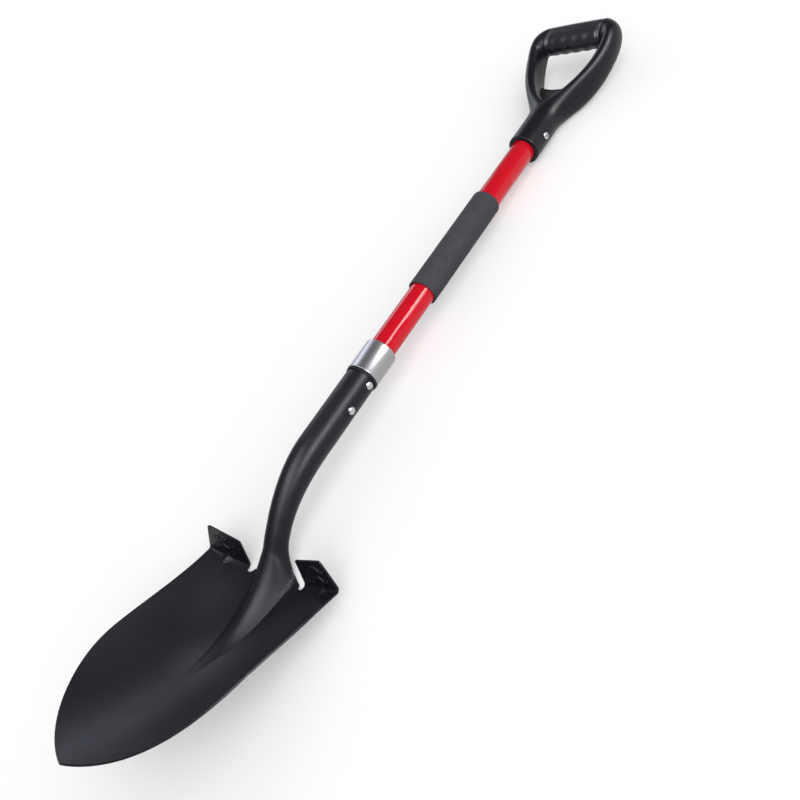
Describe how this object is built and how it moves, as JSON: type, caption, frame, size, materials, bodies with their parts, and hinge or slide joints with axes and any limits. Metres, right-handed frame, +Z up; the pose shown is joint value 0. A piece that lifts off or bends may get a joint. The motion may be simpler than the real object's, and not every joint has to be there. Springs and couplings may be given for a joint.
{
  "type": "garden shovel",
  "caption": "Round-point digging shovel with a dished steel blade, folded foot treads, a collared socket, a straight tubular shaft with a soft sleeve and a D-shaped handle.",
  "frame": {"origin": "bottom centre of the bounding box of the shovel lying on its back on the floor", "axes": "+Y from the blade's tip to the D-handle, +Z up and out of the blade's hollow front, X across the blade, symmetric about X = 0"},
  "size_m": [0.211, 1.1348, 0.1102],
  "materials": {
    "powder_coat": "satin near-black powder coat on steel sheet",
    "polished_steel": "drawn and polished steel",
    "black_nylon": "matte black",
    "red_glass_fibre": "glossy red glass-fibre tube",
    "plug_wood": "plain turned wood, hidden",
    "black_foam": "matte closed-cell foam",
    "handle_plastic": "satin moulded plastic",
    "soft_grip": "semi-gloss soft grip",
    "bright_steel": "bright plated steel"
  },
  "bodies": {
    "root": {"blade": "powder_coat", "collar": "polished_steel", "collar_ring": "black_nylon", "shaft_tube": "red_glass_fibre", "lower_core_plug": "plug_wood", "upper_core_plug": "plug_wood", "socket_rivet_upper": "bright_steel", "socket_rivet_lower": "bright_steel", "foam_sleeve": "black_foam", "handle_yoke": "handle_plastic", "grip_sleeve": "soft_grip", "handle_screw": "bright_steel"}
  },
  "joints": []
}
